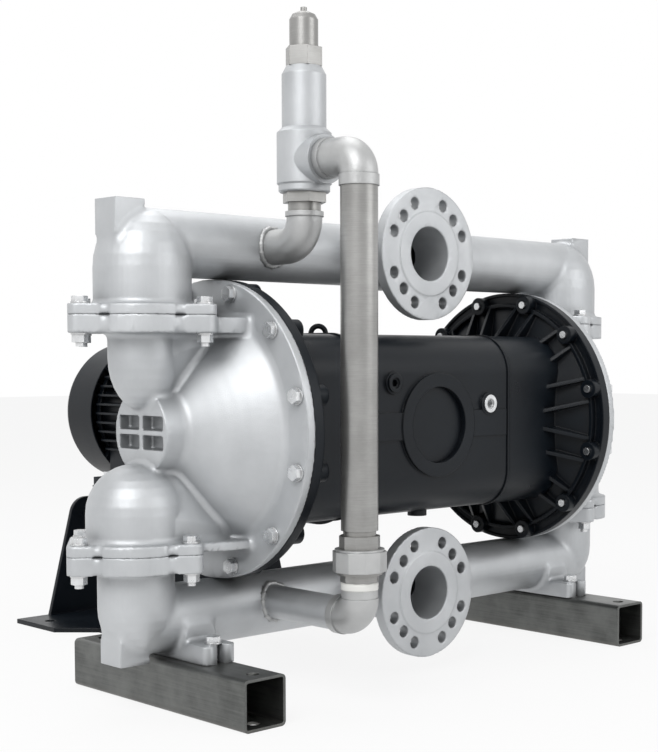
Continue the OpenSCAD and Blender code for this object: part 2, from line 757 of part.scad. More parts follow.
// A gear whose tooth, or whose gap, points along the line of centres
module gear(z, y, teeth, w, towards, gap) {
    turn = gap ? 180 / teeth : 0;
    along_y(0, y, z) rotate([0, 0, towards + turn]) linear_extrude(height = w) gear_outline(teeth);
}

module output_gear() {
    color(steel_colour) difference() {
        gear(shaft_z, output_gear_y, crank_gear_teeth, gear_w - 2, 90, true);
        along_y(0, output_gear_y - 1, shaft_z) cylinder(r = journal_r, h = gear_w + 2);
        for (i = [0 : 5]) {
            along_y(45 * cos(60 * i), output_gear_y - 1, shaft_z + 45 * sin(60 * i))
                cylinder(r = 12, h = gear_w + 2);
        }
    }
}

module layshaft() {
    color(steel_colour) {
        along_y(0, lay_front_y, lay_z) cylinder(r = lay_r, h = lay_rear_y + 12 - lay_front_y);
        gear(lay_z, output_gear_y - 2, lay_teeth, gear_w + 2, -90, false);
        difference() {
            gear(lay_z, stage_one_y, motor_gear_teeth, gear_w - 2, -90, true);
            for (i = [0 : 5]) {
                along_y(44 * cos(60 * i), stage_one_y - 1, lay_z + 44 * sin(60 * i))
                    cylinder(r = 12, h = gear_w + 2);
            }
        }
    }
}

module layshaft_bearings() {
    color(zinc_colour) for (y = [lay_front_y, lay_rear_y]) {
        along_y(0, y, lay_z) ring(lay_bearing_r, lay_r + slip, 12);
    }
}

reducer_wall = 8;
reducer_r = 116;
sump_r = 84;

module reducer_outline(shrink) {
    circle(r = reducer_r - shrink);
    translate([0, lay_drop]) circle(r = sump_r - shrink);
}

module reducer_housing() {
    y0 = box_half_y + 5;
    y1 = motor_face_y;
    color(black_colour) difference() {
        union() {
            along_y(0, y0, shaft_z) linear_extrude(height = y1 - y0) reducer_outline(0);
            along_y(0, y0, shaft_z) cylinder(r = 125, h = 14);
            along_y(0, y1 - 14, shaft_z) cylinder(r = 125, h = 14);
        }
        along_y(0, y0 + 22, shaft_z) linear_extrude(height = y1 - y0 - 40) reducer_outline(reducer_wall);
        along_y(0, y0 - 1, shaft_z) cylinder(r = rear_bearing_r, h = 40);
        along_y(0, y1 - 30, shaft_z) cylinder(r = 30, h = 40);
        along_y(0, lay_front_y, lay_z) cylinder(r = lay_bearing_r, h = 40);
        along_y(0, y1 - 30, lay_z) cylinder(r = lay_bearing_r, h = 26);
    }
}

// Motor

frame_y = motor_face_y + 12;
frame_end = motor_end_y - cowl_l - 3;
rotor_r = 58;
stator_r = barrel_bore_r;
motor_bearing_r = 40;
shield_t = 12;
fan_y = frame_end + 30;
cowl_wall = 2.5;
core_y = frame_y + 70;
core_l = frame_end - frame_y - 140;

module motor_rotor() {
    color(steel_colour) {
        along_y(0, stage_one_y + gear_w, shaft_z)
            cylinder(r = motor_shaft_r, h = fan_y + 30 - stage_one_y - gear_w);
        gear(shaft_z, stage_one_y - 2, motor_teeth, gear_w + 4, 90, false);
        along_y(0, core_y - 4, shaft_z) cylinder(r = rotor_r, h = core_l + 8);
    }
}

module motor_bearings() {
    color(zinc_colour) {
        along_y(0, motor_face_y + 4, shaft_z) ring(motor_bearing_r, motor_shaft_r + slip, 20);
        along_y(0, frame_end - 20, shaft_z) ring(motor_bearing_r, motor_shaft_r + slip, 20);
    }
}

module motor_stator() {
    color([0.35, 0.33, 0.32]) along_y(0, core_y, shaft_z) ring(stator_r, rotor_r + 1, core_l);
}

// Cooling fins of one side: plates stacked across the barrel, cut off at the fin radius
module fin_stack() {
    rows = floor(80 / fin_pitch);
    for (i = [-rows : rows]) {
        z = i * fin_pitch;
        start = sqrt(barrel_r * barrel_r - z * z) - 2;
        tip = sqrt(fin_r * fin_r - z * z);
        translate([start, 0, z - fin_t / 2]) cube([tip - start, frame_end - frame_y - 4, fin_t]);
    }
}

foot_y0 = frame_y + 140;
foot_y1 = frame_end - 4;

module motor_frame() {
    color(black_colour) difference() {
        union() {
            along_y(0, frame_y - 12, shaft_z) cylinder(r = 125, h = 16);
            along_y(0, frame_y, shaft_z) cylinder(r = barrel_r, h = frame_end - frame_y);
            for (a = [0, 90, 180, 270]) {
                translate([0, frame_y + 3, shaft_z]) rotate([0, a, 0]) fin_stack();
            }
            for (s = [-1, 1]) mirrored(s) {
                translate([78, foot_y0, shaft_z - motor_h]) cube([50, foot_y1 - foot_y0, 16]);
                translate([78, foot_y0, shaft_z - motor_h]) cube([14, foot_y1 - foot_y0, 82]);
            }
            translate([-60, frame_y + 60, shaft_z + 80]) cube([120, 120, fin_r - 80]);
        }
        along_y(0, frame_y + 12, shaft_z) cylinder(r = barrel_bore_r, h = frame_end - frame_y);
        along_y(0, motor_face_y + 4, shaft_z) cylinder(r = motor_bearing_r, h = 40);
        along_y(0, motor_face_y - 1, shaft_z) cylinder(r = motor_shaft_r + 3, h = 40);
        for (s = [-1, 1], y = [foot_y0 + 20, foot_y1 - 20]) {
            translate([s * motor_foot_x, y, shaft_z - motor_h - 1]) cylinder(r = bolt_hole_r, h = 20);
        }
    }
}

module motor_rear_shield() {
    lug_w = 20;
    lug_end = sqrt(pow(cowl_r - cowl_wall, 2) - pow(lug_w / 2, 2)) - slip;
    color(black_colour) along_y(0, frame_end - shield_t - 8, shaft_z) difference() {
        union() {
            cylinder(r = motor_bearing_r + 12, h = shield_t + 8);
            translate([0, 0, 8]) cylinder(r = barrel_bore_r, h = shield_t);
            translate([0, 0, 8 + shield_t]) cylinder(r = barrel_r + 6, h = 10);
            for (a = [45, 135, 225, 315]) rotate([0, 0, a]) {
                translate([barrel_r, -lug_w / 2, 8 + shield_t + 4])
                    cube([lug_end - barrel_r, lug_w, 12]);
            }
        }
        translate([0, 0, -1]) cylinder(r = motor_bearing_r, h = shield_t + 9);
        cylinder(r = motor_shaft_r + 3, h = 60);
    }
}

module cooling_fan() {
    color([0.15, 0.15, 0.16]) {
        along_y(0, fan_y, shaft_z) ring(motor_shaft_r + 12, motor_shaft_r, 28);
        along_y(0, fan_y, shaft_z) ring(fan_r - 10, motor_shaft_r + 10, 4);
        for (i = [0 : 6]) {
            translate([0, fan_y, shaft_z]) rotate([0, 360 * i / 7 + 10, 0])
                translate([motor_shaft_r + 6, 2, -2]) cube([fan_r - motor_shaft_r - 6, 24, 4]);
        }
    }
}

module fan_cowl() {
    color(black_colour) difference() {
        along_y(0, motor_end_y - cowl_l, shaft_z) union() {
            cylinder(r = cowl_r, h = cowl_l - 14);
            translate([0, 0, cowl_l - 14]) cylinder(r1 = cowl_r, r2 = cowl_r - 5, h = 10, $fn = 60);
            translate([0, 0, cowl_l - 4]) cylinder(r1 = cowl_r - 5, r2 = cowl_r - 14, h = 4, $fn = 60);
        }
        along_y(0, motor_end_y - cowl_l - 1, shaft_z) cylinder(r = cowl_r - cowl_wall, h = cowl_l - 13);
        along_y(0, motor_end_y - 20, shaft_z) cylinder(r = cowl_r - 14, h = 20 - cowl_wall);
        for (k = [1 : 4]) for (i = [0 : 6 * k - 1]) {
            along_y(24 * k * cos(60 * i / k), motor_end_y - 8, shaft_z + 24 * k * sin(60 * i / k))
                cylinder(r = 8, h = 10);
        }
    }
}

module terminal_box() {
    box_w = 110;
    box_z = shaft_z + fin_r;
    color(black_colour) difference() {
        union() {
            translate([-box_w / 2, frame_y + 64, box_z]) cube([box_w, 112, 44]);
            translate([-box_w / 2 - 3, frame_y + 61, box_z + 44]) cube([box_w + 6, 118, 8]);
            along_x(box_w / 2, frame_y + 120, box_z + 22) cylinder(r = 16, h = 12);
        }
        translate([-box_w / 2 + 5, frame_y + 69, box_z - 1]) cube([box_w - 10, 102, 44]);
        along_x(box_w / 2 - 6, frame_y + 120, box_z + 22) cylinder(r = 11, h = 20);
    }
}

// Motor bracket: two upright sheets with rounded shoulders, a top sheet and floor flanges

bracket_y0 = foot_y0 - 14;
bracket_y1 = motor_end_y - 8;
bracket_corner_r = 34;
shoulder_plate_x = bracket_top_w - bracket_corner_r;
spacer_h = shaft_z - motor_h - bracket_h;
motor_foot_x = 108;
rear_floor_x = 206;
front_floor_x = 160;
floor_edge = 60; // distance of the floor holes from the ends of the bracket

// Sheet with sloping sides and round shoulders
module upright() {
    lean = bracket_low_w - bracket_top_w;
    side_l = sqrt(lean * lean + bracket_h * bracket_h);
    slope = atan(lean / bracket_h);
    shoulder_z = bracket_h - bracket_corner_r;
    shoulder_x = bracket_low_w - (bracket_corner_r * side_l + shoulder_z * lean) / bracket_h;
    tangent_x = shoulder_x + bracket_corner_r * cos(slope);
    tangent_z = shoulder_z + bracket_corner_r * sin(slope);
    rotate([90, 0, 0]) linear_extrude(height = bracket_t) {
        polygon([
            [-bracket_low_w, 0], [-tangent_x, tangent_z], [-shoulder_x, bracket_h],
            [shoulder_x, bracket_h], [tangent_x, tangent_z], [bracket_low_w, 0]]);
        for (s = [-1, 1]) translate([s * shoulder_x, shoulder_z]) circle(r = bracket_corner_r);
    }
}

module motor_bracket() {
    wide = rear_floor_x + 32;
    narrow = front_floor_x + 22;
    wide_y = bracket_y1 - 126;
    narrow_y = wide_y - 56;
    color(black_colour) difference() {
        union() {
            translate([0, bracket_y1, 0]) upright();
            translate([0, bracket_y0 + bracket_t, 0]) upright();
            translate([-shoulder_plate_x, bracket_y0, bracket_h - bracket_t])
                cube([2 * shoulder_plate_x, bracket_y1 - bracket_y0, bracket_t]);
            linear_extrude(height = bracket_t) polygon([
                [-wide, bracket_y1], [-wide, wide_y], [-narrow, narrow_y], [-narrow, bracket_y0],
                [narrow, bracket_y0], [narrow, narrow_y], [wide, wide_y], [wide, bracket_y1]]);
            for (s = [-1, 1]) mirrored(s) {
                translate([motor_foot_x - 28, bracket_y0, bracket_h - bracket_t])
                    cube([44, foot_y1 - bracket_y0 + 10, bracket_t + spacer_h]);
            }
        }
        for (s = [-1, 1], y = [foot_y0 + 20, foot_y1 - 20]) {
            translate([s * motor_foot_x, y, bracket_h - bracket_t - 1]) cylinder(r = bolt_hole_r, h = 80);
        }
        for (s = [-1, 1]) {
            translate([s * rear_floor_x, bracket_y1 - floor_edge, -1]) cylinder(r = anchor_r, h = 20);
            translate([s * front_floor_x, bracket_y0 + floor_edge, -1]) cylinder(r = anchor_r, h = 20);
        }
    }
}

module motor_bolts() {
    color(zinc_colour) for (s = [-1, 1], y = [foot_y0 + 20, foot_y1 - 20]) {
        translate([s * motor_foot_x, y, shaft_z - motor_h + 16]) bolt(bolt_r, 16 + spacer_h + bracket_t);
    }
}

// Manifolds

module flange_holes(z) {
    for (i = [0 : 7]) {
        a = 22.5 + 45 * i;
        along_y(pcd_wide_r * cos(a), -flange_face_y - 1, z + pcd_wide_r * sin(a))
            cylinder(r = flange_hole_r, h = flange_t + 3);
    }
    for (i = [0 : 3]) {
        a = 45 + 90 * i;
        along_y(pcd_narrow_r * cos(a), -flange_face_y - 1, z + pcd_narrow_r * sin(a))
            cylinder(r = flange_hole_r, h = flange_t + 3);
    }
}

module pipe_body(z, half_l) {
    neck_r = pipe_r + 6;
    along_x(-half_l, 0, z) cylinder(r = pipe_r, h = 2 * half_l);
    along_y(0, -flange_face_y, z) cylinder(r = raised_r, h = 4);
    along_y(0, -flange_face_y + 2, z) cylinder(r = flange_r, h = flange_t - 2);
    along_y(0, -flange_face_y + flange_t - 1, z) cylinder(r1 = neck_r + 6, r2 = neck_r, h = 10);
    along_y(0, -flange_face_y + flange_t, z) cylinder(r = neck_r, h = flange_face_y - flange_t);
}

module pipe_bores(z, half_l) {
    along_x(-half_l, 0, z) cylinder(r = pipe_bore_r, h = 2 * half_l);
    along_y(0, -flange_face_y - 1, z) cylinder(r = pipe_bore_r, h = flange_face_y + 1);
    flange_holes(z);
}

module discharge_manifold() {
    low_z = top_joint_z;
    crown = 55;
    dome_drop = 36;
    color(cast_colour) difference() {
        union() {
            pipe_body(top_pipe_z, top_valve_x);
            for (s = [-1, 1]) mirrored(s) {
                bulb(top_valve_x, top_elbow_r, low_z + 2, top_pipe_z - dome_drop, pipe_r + dome_drop);
                joint_plate(top_valve_x, low_z, top_man_plate_t, top_ear_r);
                translate([corner_x - corner_w, -corner_w / 2, top_pipe_z - 2])
                    cube([corner_w, corner_w, 2 + crown]);
            }
        }
        pipe_bores(top_pipe_z, top_valve_x);
        for (s = [-1, 1]) mirrored(s) {
            bulb(top_valve_x, top_elbow_r - top_elbow_wall, low_z - 1, top_pipe_z - dome_drop - 2,
                pipe_bore_r + dome_drop);
            translate([top_valve_x, 0, low_z - 1]) cylinder(r = joint_recess_r, h = seat_t / 2 + 1);
            joint_holes(top_valve_x, low_z, top_man_plate_t, top_ear_r);
        }
        along_y(-bypass_x, -pipe_r - 4, top_pipe_z) cylinder(r = riser_r - riser_wall, h = 30);
    }
}

foot_x = rail_x - 9;
foot_bolt_y = foot_half_l - 18;

module foot(s) {
    foot_w = 52;
    saddle_half_l = 51;
    mirrored(s) difference() {
        union() {
            translate([foot_x, 0, rail_w]) linear_extrude(height = foot_h)
                round_rect(foot_w, 2 * foot_half_l, 8);
            translate([foot_x - foot_w / 2, -saddle_half_l, rail_w + foot_h - 1])
                cube([foot_w, 2 * saddle_half_l, low_pipe_z - rail_w - foot_h]);
        }
        for (k = [-1, 1]) {
            translate([foot_x, k * foot_bolt_y, rail_w - 1]) cylinder(r = foot_bolt_r + 1, h = foot_h + 2);
            translate([foot_x - foot_bolt_r - 1, k > 0 ? foot_bolt_y : -foot_half_l - 1, rail_w - 1])
                cube([2 * foot_bolt_r + 2, foot_half_l - foot_bolt_y + 1, foot_h + 2]);
        }
    }
}

module suction_manifold() {
    top_z = low_joint_z;
    stub_end = riser_y - fitting_bend_r - 14;
    elbow_bore_r = 40;
    crown = 55;
    dome_drop = 20;
    color(cast_colour) difference() {
        union() {
            pipe_body(low_pipe_z, low_valve_x);
            for (s = [-1, 1]) {
                mirrored(s) {
                    mirror([0, 0, 1])
                        bulb(low_valve_x, low_elbow_r, -top_z + 2, -low_pipe_z - dome_drop,
                            pipe_r + dome_drop);
                    joint_plate(low_valve_x, top_z - low_man_plate_t, low_man_plate_t, low_ear_r);
                    translate([corner_x - corner_w, -corner_w / 2, low_pipe_z - crown])
                        cube([corner_w, corner_w, crown + 12]);
                }
                foot(s);
            }
            along_y(-bypass_x, -stub_end, return_z) cylinder(r = stub_r, h = stub_end);
        }
        pipe_bores(low_pipe_z, low_valve_x);
        along_y(-bypass_x, -stub_end - 1, return_z) cylinder(r = stub_r - riser_wall, h = stub_end);
        for (s = [-1, 1]) mirrored(s) {
            translate([low_valve_x, 0, low_pipe_z])
                cylinder(r = elbow_bore_r, h = top_z - low_pipe_z + 1);
            translate([low_valve_x, 0, low_pipe_z]) sphere(r = pipe_bore_r);
            translate([low_valve_x, 0, top_z - seat_t / 2]) cylinder(r = joint_recess_r, h = seat_t);
            joint_holes(low_valve_x, top_z - low_man_plate_t, low_man_plate_t, low_ear_r);
        }
    }
}

// Ball valves

seat_edge = seat_t / 2 - 5;
ball_rise = seat_edge + sqrt(ball_r * ball_r - seat_bore_r * seat_bore_r) + seat_gap;

module ball_seat(x, z) {
    translate([x, 0, z - seat_t / 2]) rotate_extrude() polygon([
        [seat_bore_r, 0], [seat_r, 0], [seat_r, seat_t], [seat_bore_r + 5, seat_t],
        [seat_bore_r, seat_t / 2 + seat_edge]]);
}

module suction_seats() {
    color(steel_colour) for (s = [-1, 1]) mirrored(s) ball_seat(low_valve_x, low_joint_z);
}

module discharge_seats() {
    color(steel_colour) for (s = [-1, 1]) mirrored(s) ball_seat(top_valve_x, top_joint_z);
}

module valve_ball(x, z) {
    color(plastic_colour) translate([x, 0, z + ball_rise]) sphere(r = ball_r);
}

// Fasteners

module cover_bolt_set(side) {
    color(zinc_colour) mirrored(side) for (i = [0 : cover_bolts - 1]) {
        a = 15 + 360 * i / cover_bolts;
        along_x(cover_face_x, cover_bolt_r * cos(a), shaft_z + cover_bolt_r * sin(a))
            bolt(bolt_r, cover_face_x - ear_x + 4, false);
    }
}

// Four bolts of a joint; the one nearest to the cover is a screw, as there is no room for its nut
module joint_bolt_set(ear_r, grip, screw_up) {
    rotate([0, 0, ear_turn]) for (sx = [-1, 1], sy = [-1, 1]) translate([sx * ear_r, sy * ear_bolt_y, 0]) {
        if (sx > 0 || sy < 0) bolt(bolt_r, grip);
        else if (screw_up) translate([0, 0, -grip]) mirror([0, 0, 1]) bolt(bolt_r, grip - 1, false);
        else bolt(bolt_r, grip - 1, false);
    }
}

module joint_bolts() {
    color(zinc_colour) for (s = [-1, 1]) mirrored(s) {
        translate([top_valve_x, 0, top_joint_z + top_man_plate_t])
            joint_bolt_set(top_ear_r, top_man_plate_t + top_cover_plate_t, false);
        translate([low_valve_x, 0, low_joint_z + low_cover_plate_t])
            joint_bolt_set(low_ear_r, low_man_plate_t + low_cover_plate_t, true);
    }
}

module foot_bolts() {
    color(zinc_colour) for (s = [-1, 1], k = [-1, 1]) mirrored(s) {
        translate([foot_x, k * foot_bolt_y, rail_w + foot_h])
            bolt(foot_bolt_r, foot_h + rail_wall);
    }
}

// Rails

module rail(side) {
    color(steel_colour) mirrored(side) difference() {
        along_y(rail_x, -rail_l / 2, rail_w / 2) linear_extrude(height = rail_l)
            round_rect(rail_w, rail_w, rail_corner_r);
        along_y(rail_x, -rail_l / 2 - 1, rail_w / 2) linear_extrude(height = rail_l + 2)
            round_rect(rail_w - 2 * rail_wall, rail_w - 2 * rail_wall, rail_corner_r - rail_wall);
        for (k = [-1, 1]) {
            translate([rail_x, k * (rail_l / 2 - anchor_edge), -1]) cylinder(r = anchor_r, h = rail_w + 2);
            translate([foot_x, k * foot_bolt_y, rail_w - rail_wall - 1])
                cylinder(r = foot_bolt_r + 0.5, h = rail_wall + 2);
        }
    }
}

// Relief bypass, in the plane x = -bypass_x

elbow_top_z = top_pipe_z + 46;
outlet_z = top_pipe_z + 115;
relief_seat_z = outlet_z - 18;
return_z = low_pipe_z + 7.5;
stub_r = riser_r - 1.5;

// A bend in the bypass plane: it starts at [y, z] running down and ends running towards +Y
module bypass_tube_bend(y, z, bend, r, bore) {
    translate([-bypass_x, y, z]) rotate([0, 0, 90]) rotate([180, 0, 0]) tube_bend(bend, r, bore);
}

module relief_elbow() {
    r = riser_r - 0.5;
    bore = r - riser_wall;
    color(steel_colour) {
        difference() {
            along_y(-bypass_x, -relief_y + bend_r, top_pipe_z) ring(r, bore, relief_y - bend_r);
            along_x(-bypass_x - 60, 0, top_pipe_z) cylinder(r = pipe_r + slip, h = 120);
        }
        translate([-bypass_x, -relief_y, top_pipe_z + bend_r])
            ring(r, bore, elbow_top_z - top_pipe_z - bend_r);
        translate([-bypass_x, -relief_y, elbow_top_z - 7]) ring(riser_r + 1.5, bore, 7);
        bypass_tube_bend(-relief_y, top_pipe_z + bend_r, bend_r, r, bore);
    }
}

module relief_nipple() {
    z0 = elbow_top_z;
    color(steel_colour) translate([-bypass_x, -relief_y, z0]) difference() {
        union() {
            cylinder(r = 23, h = 12);
            translate([0, 0, 12]) hexagon(55, 14);
            translate([0, 0, 26]) cylinder(r = 20, h = 14);
        }
        translate([0, 0, -1]) cylinder(r = 15, h = 50);
    }
}

body_z = 27.5; // underside of the relief valve inlet collar above the weld elbow

module relief_body() {
    z0 = elbow_top_z + body_z - 1.5;
    seat_up = relief_seat_z - z0;
    spring_top = spring_z1 + seat_gap - z0;
    color(cast_colour) difference() {
        union() {
            translate([-bypass_x, -relief_y, z0]) rotate_extrude() polygon([
                [0, 0], [34, 0], [36, 2], [36, 10], [relief_r, 12], [relief_r, 82], [bonnet_r, 89],
                [bonnet_r, 162], [bonnet_r - 6, 173], [0, 173]]);
            along_y(-bypass_x, -relief_y - 46, outlet_z) cylinder(r = 34, h = 46);
        }
        translate([-bypass_x, -relief_y, z0]) rotate_extrude() polygon([
            [0, -1], [20 + slip, -1], [20 + slip, 15], [15, 17], [15, seat_up], [18, seat_up],
            [18, seat_up - 3], [28, seat_up - 3], [28, 76], [23, 82], [23, spring_top], [12, spring_top],
            [12, 180], [0, 180]]);
        along_y(-bypass_x, -relief_y - 47, outlet_z) cylinder(r = 17, h = 50);
    }
}

module relief_disc() {
    color(zinc_colour) translate([-bypass_x, -relief_y, relief_seat_z + seat_gap]) {
        cylinder(r = 22, h = 9);
        translate([0, 0, 9]) cylinder(r = 14, h = 5);
        translate([0, 0, 14]) cylinder(r = 5, h = 112);
    }
}

spring_z0 = relief_seat_z + 2 * seat_gap + 9;
spring_z1 = elbow_top_z + body_z + 138;
spring_r = 18;
spring_wire = 2.6;

// Coil swept ring by ring along a helix
module relief_spring() {
    turns = 6;
    per_turn = 12;
    sides = 8;
    count = turns * per_turn;
    rise = spring_z1 - spring_z0 - 2 * spring_wire;
    rings = [for (i = [0 : count])
        let (a = 360 * i / per_turn, z = spring_z0 + spring_wire + rise * i / count)
        [for (k = [0 : sides - 1]) let (b = 360 * k / sides, r = spring_r + spring_wire * cos(b))
            [r * cos(a), r * sin(a), z + spring_wire * sin(b)]]];
    color(zinc_colour) translate([-bypass_x, -relief_y, 0]) polyhedron(
        points = [for (q = rings) each q],
        faces = concat(
            [[for (k = [0 : sides - 1]) k]],
            [for (i = [0 : count - 1], k = [0 : sides - 1]) let (n = (k + 1) % sides)
                [i * sides + k, (i + 1) * sides + k, (i + 1) * sides + n, i * sides + n]],
            [[for (k = [sides - 1 : -1 : 0]) count * sides + k]]));
}

module relief_cap() {
    z0 = elbow_top_z + body_z - 1.5 + 173;
    color(steel_colour) translate([-bypass_x, -relief_y, z0]) difference() {
        union() {
            hexagon(46, 26);
            rotate_extrude() polygon([[0, 20], [20, 20], [20, 64], [16, 71], [8, 75], [0, 75]]);
            translate([0, 0, 70]) cylinder(r = 4.5, h = 11);
            translate([0, 0, -12]) ring(12 - slip, 8, 13);
        }
        translate([0, 0, -13]) cylinder(r = 8, h = 66);
    }
}

module outlet_elbow() {
    start = relief_y + 46;
    bore = fitting_r - riser_wall;
    color(steel_colour) {
        along_y(-bypass_x, -riser_y + fitting_bend_r, outlet_z)
            ring(fitting_r, bore, riser_y - fitting_bend_r - start);
        along_y(-bypass_x, -start - 10, outlet_z) ring(fitting_r + 2, bore, 10);
        translate([-bypass_x, -riser_y, outlet_z - fitting_bend_r]) rotate([0, 0, 90])
            tube_bend(fitting_bend_r, fitting_r, bore);
        translate([-bypass_x, -riser_y, riser_top])
            ring(fitting_r + 1.5, thread_r + 0.1, outlet_z - fitting_bend_r - riser_top);
        translate([-bypass_x, -riser_y, outlet_z - fitting_bend_r - 1]) ring(fitting_r, bore, 2);
    }
}

thread_r = 22.5;
thread_l = 10;
riser_top = outlet_z - fitting_bend_r - 15;
union_z = return_z + fitting_bend_r + 12.5;
tail_z = union_z + 73;
riser_low = tail_z + 7;

module bypass_pipe() {
    thread_end = riser_top + thread_l;
    color(steel_colour) translate([-bypass_x, -riser_y, 0]) difference() {
        union() {
            translate([0, 0, riser_low]) cylinder(r = riser_r, h = riser_top - riser_low);
            translate([0, 0, tail_z - thread_l]) cylinder(r = thread_r, h = thread_end - tail_z + thread_l);
        }
        translate([0, 0, tail_z - thread_l - 1])
            cylinder(r = riser_r - riser_wall - 2, h = thread_end - tail_z + thread_l + 2);
    }
}

// Union: its nut and both tails are ten-sided

module ten_sided(r, h) {
    cylinder(r = r, h = h, $fn = 10);
}

module union_upper_tail() {
    color(steel_colour) translate([-bypass_x, -riser_y, union_z]) difference() {
        union() {
            translate([0, 0, 55]) ten_sided(28.2, 18);
            translate([0, 0, 44]) cylinder(r = 27, h = 12);
            translate([0, 0, 38]) cylinder(r = 31, h = 6);
        }
        translate([0, 0, 37]) cylinder(r = 19, h = 50);
        translate([0, 0, tail_z - union_z - thread_l - 1]) cylinder(r = thread_r + 0.1, h = thread_l + 2);
    }
}

module union_nut() {
    color(steel_colour) translate([-bypass_x, -riser_y, union_z]) difference() {
        union() {
            translate([0, 0, 24]) rotate([0, 0, 23]) ten_sided(37.2, 28);
            translate([0, 0, 51]) cylinder(r = 34, h = 4);
        }
        translate([0, 0, 23]) cylinder(r = 31.2, h = 21.3);
        translate([0, 0, 43]) cylinder(r = 27.2, h = 14);
    }
}

module union_lower_tail() {
    color(steel_colour) translate([-bypass_x, -riser_y, union_z]) difference() {
        union() {
            translate([0, 0, 20]) cylinder(r = 31, h = 17.8);
            translate([0, 0, 10]) ten_sided(26.6, 11);
            cylinder(r = 24, h = 11);
        }
        translate([0, 0, -1]) cylinder(r = 19, h = 50);
    }
}

module return_elbow() {
    bore = 19;
    color(steel_colour) {
        along_y(-bypass_x, -riser_y + fitting_bend_r, return_z) ring(fitting_r, bore, 14);
        along_y(-bypass_x, -riser_y + fitting_bend_r + 2, return_z) ring(fitting_r + 1.5, bore, 12);
        bypass_tube_bend(-riser_y, return_z + fitting_bend_r, fitting_bend_r, fitting_r, bore);
        translate([-bypass_x, -riser_y, return_z + fitting_bend_r - 1])
            ring(fitting_r - 1, 19, union_z - return_z - fitting_bend_r + 1);
    }
}

outer_cover(-1);  // left_outer_cover
outer_cover(1);  // right_outer_cover
inner_cover(-1);  // left_inner_cover
inner_cover(1);  // right_inner_cover
gearbox_housing();
front_bearing_cap();
oil_plug();
sight_plug();
drain_plug();
lifting_eye();
diaphragm_yoke();
diaphragm(-1);  // left_diaphragm
diaphragm(1);  // right_diaphragm
outer_plates();
inner_plates();
rod_bushes();
crankshaft();
crank_roller();
crank_bearings();
output_gear();
layshaft();
layshaft_bearings();
reducer_housing();
motor_rotor();
motor_bearings();
motor_stator();
motor_frame();
motor_rear_shield();
cooling_fan();
fan_cowl();
terminal_box();
motor_bracket();
suction_manifold();
discharge_manifold();
suction_seats();
discharge_seats();
valve_ball(-low_valve_x, low_joint_z);  // left_suction_ball
valve_ball(low_valve_x, low_joint_z);  // right_suction_ball
valve_ball(-top_valve_x, top_joint_z);  // left_discharge_ball
valve_ball(top_valve_x, top_joint_z);  // right_discharge_ball
cover_bolt_set(-1);  // left_cover_bolts
cover_bolt_set(1);  // right_cover_bolts
joint_bolts();
foot_bolts();
motor_bolts();
rail(-1);  // left_rail
rail(1);  // right_rail
relief_elbow();
relief_nipple();
relief_body();
relief_cap();
relief_disc();
relief_spring();
outlet_elbow();
bypass_pipe();
union_upper_tail();
union_nut();
union_lower_tail();
return_elbow();
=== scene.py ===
import json
import math
import bpy
import bmesh
from mathutils import Matrix, Vector
from mathutils.kdtree import KDTree


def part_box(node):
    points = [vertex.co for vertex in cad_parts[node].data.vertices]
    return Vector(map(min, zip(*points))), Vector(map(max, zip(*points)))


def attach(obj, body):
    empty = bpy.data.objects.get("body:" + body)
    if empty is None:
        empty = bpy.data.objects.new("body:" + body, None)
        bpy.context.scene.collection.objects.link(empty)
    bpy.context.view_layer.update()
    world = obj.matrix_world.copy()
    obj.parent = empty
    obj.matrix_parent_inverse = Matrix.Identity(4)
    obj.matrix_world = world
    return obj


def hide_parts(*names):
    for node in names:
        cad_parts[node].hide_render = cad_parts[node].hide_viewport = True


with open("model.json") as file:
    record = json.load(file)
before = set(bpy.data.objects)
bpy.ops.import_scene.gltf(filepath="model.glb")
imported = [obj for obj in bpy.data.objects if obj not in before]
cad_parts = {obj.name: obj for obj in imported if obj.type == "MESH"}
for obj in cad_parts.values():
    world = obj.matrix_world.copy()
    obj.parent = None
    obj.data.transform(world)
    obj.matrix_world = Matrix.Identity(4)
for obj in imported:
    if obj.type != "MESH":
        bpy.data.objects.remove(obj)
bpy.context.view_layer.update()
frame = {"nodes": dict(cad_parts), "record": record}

nodes = frame["nodes"]

# The camera sees the pump as the photograph does
cameraSettings = {
    "place": (-1.58868, -1.63920, 0.48751),
    "yaw": 44.72,
    "pitch": -3.71,
    "lens": 69.04,
    "shift": (-0.0864, 0.0985),
    "sensor": 36,
    "clip": (0.05, 50),
}


def makeCamera(s):
    data = bpy.data.cameras.new("photoCamera")
    cam = bpy.data.objects.new("photoCamera", data)
    bpy.context.scene.collection.objects.link(cam)
    data.sensor_width = s["sensor"]
    data.lens = s["lens"]
    data.shift_x, data.shift_y = s["shift"]
    data.clip_start, data.clip_end = s["clip"]
    yaw, pitch = math.radians(s["yaw"]), math.radians(s["pitch"])
    level = math.cos(pitch)
    look = Vector((math.sin(yaw) * level, math.cos(yaw) * level, math.sin(pitch)))
    cam.location = s["place"]
    cam.rotation_mode = "QUATERNION"
    cam.rotation_quaternion = look.to_track_quat("-Z", "Y")
    bpy.context.scene.camera = cam


makeCamera(cameraSettings)
bpy.context.scene.view_settings.view_transform = "Standard"
print("camera set")


def newGroup(name, inputs, outputs):
    group = bpy.data.node_groups.new(name, "ShaderNodeTree")
    for label, kind, value in inputs:
        socket = group.interface.new_socket(label, in_out="INPUT", socket_type=kind)
        socket.default_value = value
    for label, kind in outputs:
        group.interface.new_socket(label, in_out="OUTPUT", socket_type=kind)
    return group, group.nodes.new("NodeGroupInput"), group.nodes.new("NodeGroupOutput")


def addNode(tree, kind, **values):
    node = tree.nodes.new(kind)
    for key, value in values.items():
        if hasattr(node, key):
            setattr(node, key, value)
        else:
            node.inputs[key.replace("_", " ")].default_value = value
    return node


